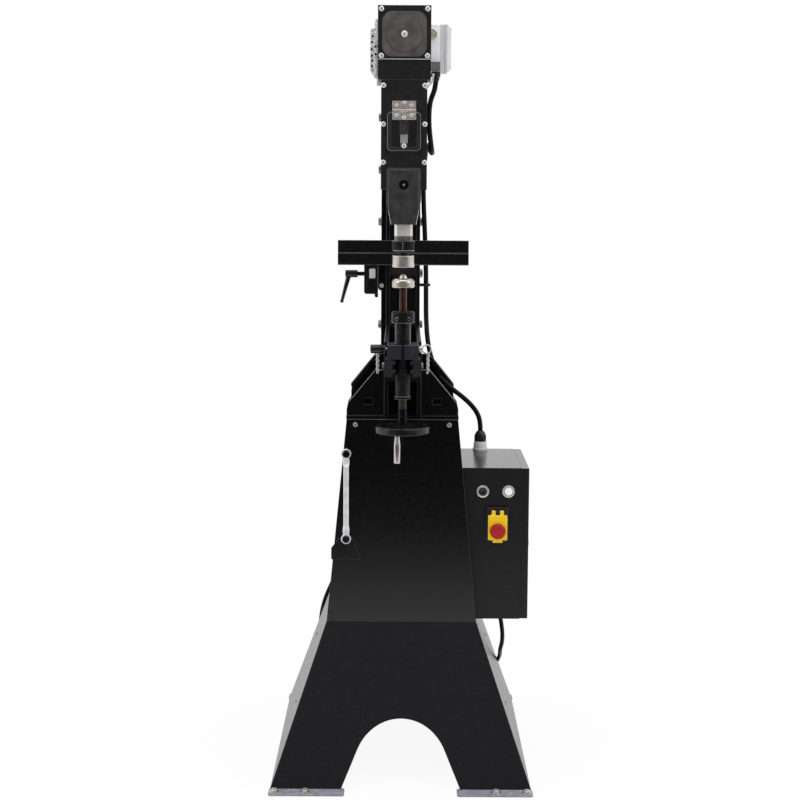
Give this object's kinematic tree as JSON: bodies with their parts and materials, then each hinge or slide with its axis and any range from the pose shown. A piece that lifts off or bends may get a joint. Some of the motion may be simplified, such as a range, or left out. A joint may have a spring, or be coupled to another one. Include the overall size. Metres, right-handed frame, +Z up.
{
  "type": "power hammer",
  "caption": "Free-standing motor-driven power hammer: C-frame on a flared sheet-steel stand, crank-driven ram over a screw-raised lower die, sliding work stop and control box",
  "frame": {"origin": "floor level at the middle of the machine's four feet", "axes": "+Z up, -Y the front where the operator stands, +X the side of the control box (the right in the picture)"},
  "size_m": [0.62, 0.978, 1.827],
  "materials": {
    "black_paint": "satin, fine texture",
    "casting_paint": "rough charcoal",
    "purple_paint": "dull grey-purple",
    "bright_steel": "ground and turned",
    "plated_steel": "bright plating",
    "yellow_zinc": "yellow passivated zinc",
    "dark_steel": "blackened, oiled",
    "motor_grey": "die cast, lightly painted",
    "box_grey": "light grey enamel",
    "clear_plastic": "clear acrylic",
    "black_plastic": "moulded",
    "black_knob": "glossy phenolic",
    "yellow_plastic": "moulded",
    "red_plastic": "moulded",
    "lamp_lens": "opal lens",
    "cable_rubber": "black jacket"
  },
  "bodies": {
    "frame": {"base_end_panels": "black_paint", "base_side_panels": "black_paint", "foot_plates": "black_paint", "foot_bolts": "yellow_zinc", "stand_panels": "black_paint", "top_plate": "black_paint", "gusset_wings": "black_paint", "frame_plates": "black_paint", "frame_spacers": "black_paint", "frame_bolts": "dark_steel", "mast_bar": "black_paint", "head_housing": "black_paint", "head_cover": "black_paint", "cover_screws": "plated_steel", "drive_housing": "black_paint", "drive_cover": "black_paint", "motor_body": "motor_grey", "fan_cover": "motor_grey", "terminal_box": "box_grey", "shaft_bearings": "bright_steel", "ram_guide": "casting_paint", "clamp_block": "purple_paint", "link_chains": "plated_steel", "hinge_leaf": "plated_steel", "stop_rail": "bright_steel", "control_box": "black_paint", "pilot_lamp": "lamp_lens", "stop_switch_plate": "black_plastic", "cable_glands": "black_plastic", "fixed_cables": "cable_rubber", "mains_lead": "cable_rubber", "mains_coil": "cable_rubber", "mains_plug": "cable_rubber", "spanner_bracket": "black_paint", "speed_controller": "box_grey"},
    "crank": {"crank_shaft": "dark_steel", "motor_fan": "black_plastic"},
    "ram_group": {"ram": "bright_steel", "connecting_rod": "dark_steel", "wrist_pin": "bright_steel", "upper_die_holder": "dark_steel", "upper_die": "bright_steel"},
    "anvil": {"lower_die": "bright_steel", "lower_die_holder": "dark_steel"},
    "screw": {"lift_spindle": "bright_steel", "drive_coupling": "dark_steel", "handwheel": "bright_steel"},
    "handle": {"wheel_handle": "plated_steel"},
    "pin_left": {"lock_pin_left": "black_knob"},
    "pin_right": {"lock_pin_right": "plated_steel"},
    "window": {"window_door": "clear_plastic", "window_hinge_leaf": "plated_steel"},
    "work_stop": {"stop_bar": "black_paint", "stop_carriage": "black_paint"},
    "stop_clamp": {"stop_lever": "black_plastic"},
    "box_door": {"control_door": "black_paint"},
    "start": {"start_button": "black_plastic"},
    "flap": {"stop_flap": "yellow_plastic"},
    "mushroom": {"stop_mushroom": "red_plastic"},
    "wrench": {"spanner": "plated_steel"}
  },
  "joints": [
    {"name": "crank_spin", "type": "hinge", "parent": "frame", "child": "crank", "pos_m": [0, -0.2, 1.735], "axis": [0, 1, 0], "continuous": true},
    {"name": "ram_slide", "type": "slide", "parent": "frame", "child": "ram_group", "axis": [0, 0, 1], "range_m": [-0.012, 0]},
    {"name": "lower_die_lift", "type": "slide", "parent": "frame", "child": "anvil", "axis": [0, 0, 1], "range_m": [-0.045, 0.002]},
    {"name": "handwheel_turn", "type": "hinge", "parent": "anvil", "child": "screw", "pos_m": [0, -0.275, 1], "axis": [0, 0, 1], "range_deg": [-3240, 144]},
    {"name": "handle_spin", "type": "hinge", "parent": "screw", "child": "handle", "pos_m": [-0.012, -0.33123, 0.8], "axis": [0, 0, 1], "continuous": true},
    {"name": "lock_pin_left_pull", "type": "slide", "parent": "frame", "child": "pin_left", "axis": [-1, 0, 0], "range_m": [0, 0.03]},
    {"name": "lock_pin_right_pull", "type": "slide", "parent": "frame", "child": "pin_right", "axis": [1, 0, 0], "range_m": [0, 0.03]},
    {"name": "window_swing", "type": "hinge", "parent": "frame", "child": "window", "pos_m": [0, -0.3195, 1.585], "axis": [-1, 0, 0], "range_deg": [0, 110]},
    {"name": "stop_travel", "type": "slide", "parent": "frame", "child": "work_stop", "axis": [0, 1, 0], "range_m": [-0.04, 0.25]},
    {"name": "stop_lever_turn", "type": "hinge", "parent": "work_stop", "child": "stop_clamp", "pos_m": [-0.12, -0.122, 1.204], "axis": [1, 0, 0], "range_deg": [-80, 80]},
    {"name": "door_swing", "type": "hinge", "parent": "frame", "child": "box_door", "pos_m": [0.28825, 0.133, 0.55], "axis": [0, 0, 1], "range_deg": [0, 110]},
    {"name": "start_press", "type": "slide", "parent": "frame", "child": "start", "axis": [0, 1, 0], "range_m": [0, 0.004], "stiffness_N_per_m": 500},
    {"name": "flap_swing", "type": "hinge", "parent": "frame", "child": "flap", "pos_m": [0.231, -0.192, 0.6355], "axis": [-1, 0, 0], "range_deg": [0, 90]},
    {"name": "mushroom_press", "type": "slide", "parent": "flap", "child": "mushroom", "axis": [0, 1, 0], "range_m": [0, 0.0015], "stiffness_N_per_m": 800},
    {"name": "spanner_lift", "type": "slide", "parent": "frame", "child": "wrench", "axis": [0, -1, 0], "range_m": [0, 0.04]}
  ],
  "couplings": [
    {"joint": "lower_die_lift", "follows": "handwheel_turn", "m_per_rad": 0.00079577}
  ]
}
